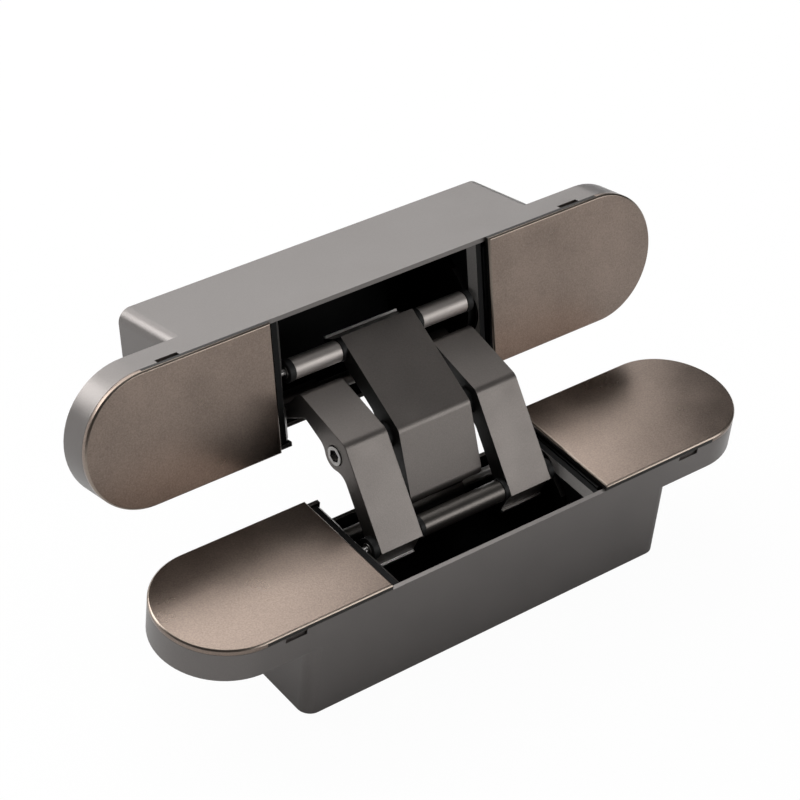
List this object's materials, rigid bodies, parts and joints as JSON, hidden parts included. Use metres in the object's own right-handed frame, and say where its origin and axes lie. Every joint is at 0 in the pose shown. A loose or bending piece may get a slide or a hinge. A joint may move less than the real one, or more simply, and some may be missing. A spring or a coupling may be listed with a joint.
{
  "type": "concealed door hinge",
  "caption": "Concealed scissor hinge for flush doors: mirrored round-ended mortise housings with clip-on covers, joined by folding arms on pins that slide in hidden grooves.",
  "frame": {"origin": "centre of the frame housing's screw holes, in the plane on which its ears seat", "axes": "+X along the hinge pins and the housing's length, +Y from the frame housing towards the door housing, +Z out of the frame housing's face"},
  "size_m": [0.148, 0.072, 0.0631],
  "materials": {
    "housing": "satin grey on die-cast zinc",
    "cover": "satin bronze brown, very fine grain",
    "carriage": "dark satin on die-cast zinc",
    "block": "dark satin on die-cast zinc",
    "arm": "matte warm grey, fine powder texture",
    "sleeve": "satin turned steel",
    "screw": "zinc plated",
    "washer": "black bearing plastic",
    "pin": "ground steel"
  },
  "bodies": {
    "frame_body": {"frame_housing": "housing", "frame_cover_left": "cover", "frame_cover_right": "cover", "frame_carriage": "carriage", "frame_block_left": "block", "frame_block_right": "block", "frame_adjusting_screws": "screw", "frame_pivot_pin": "pin"},
    "centre_link": {"centre_arm": "arm", "door_guide_pin": "pin", "door_sleeve_left": "sleeve", "door_sleeve_right": "sleeve", "door_washers": "washer", "door_end_washers": "washer"},
    "outer_link": {"outer_arm_left": "arm", "outer_arm_right": "arm", "cross_pin": "pin", "cross_washers": "washer", "frame_guide_pin": "pin", "frame_sleeve": "sleeve", "frame_washers": "washer", "frame_end_washers": "washer"},
    "door_body": {"door_housing": "housing", "door_cover_left": "cover", "door_cover_right": "cover", "door_carriage": "carriage", "door_block_left": "block", "door_block_right": "block", "door_adjusting_screws": "screw", "door_pivot_pin": "pin"}
  },
  "joints": [
    {"name": "frame_pivot", "type": "hinge", "parent": "frame_body", "child": "centre_link", "pos_m": [0, 0.01, -0.00165], "axis": [1, 0, 0], "range_deg": [-49.06, 66.89]},
    {"name": "cross_pivot", "type": "hinge", "parent": "centre_link", "child": "outer_link", "pos_m": [0, 0.0136, 0.01845], "axis": [1, 0, 0], "range_deg": [-29.95, 21.97]},
    {"name": "door_pivot", "type": "hinge", "parent": "outer_link", "child": "door_body", "pos_m": [0, 0.03398, 0.01714], "axis": [1, 0, 0], "range_deg": [-49.07, 66.9]}
  ],
  "couplings": [
    {"joint": "cross_pivot", "follows": "frame_pivot", "ratio": -0.44762},
    {"joint": "door_pivot", "follows": "frame_pivot", "ratio": 1}
  ]
}
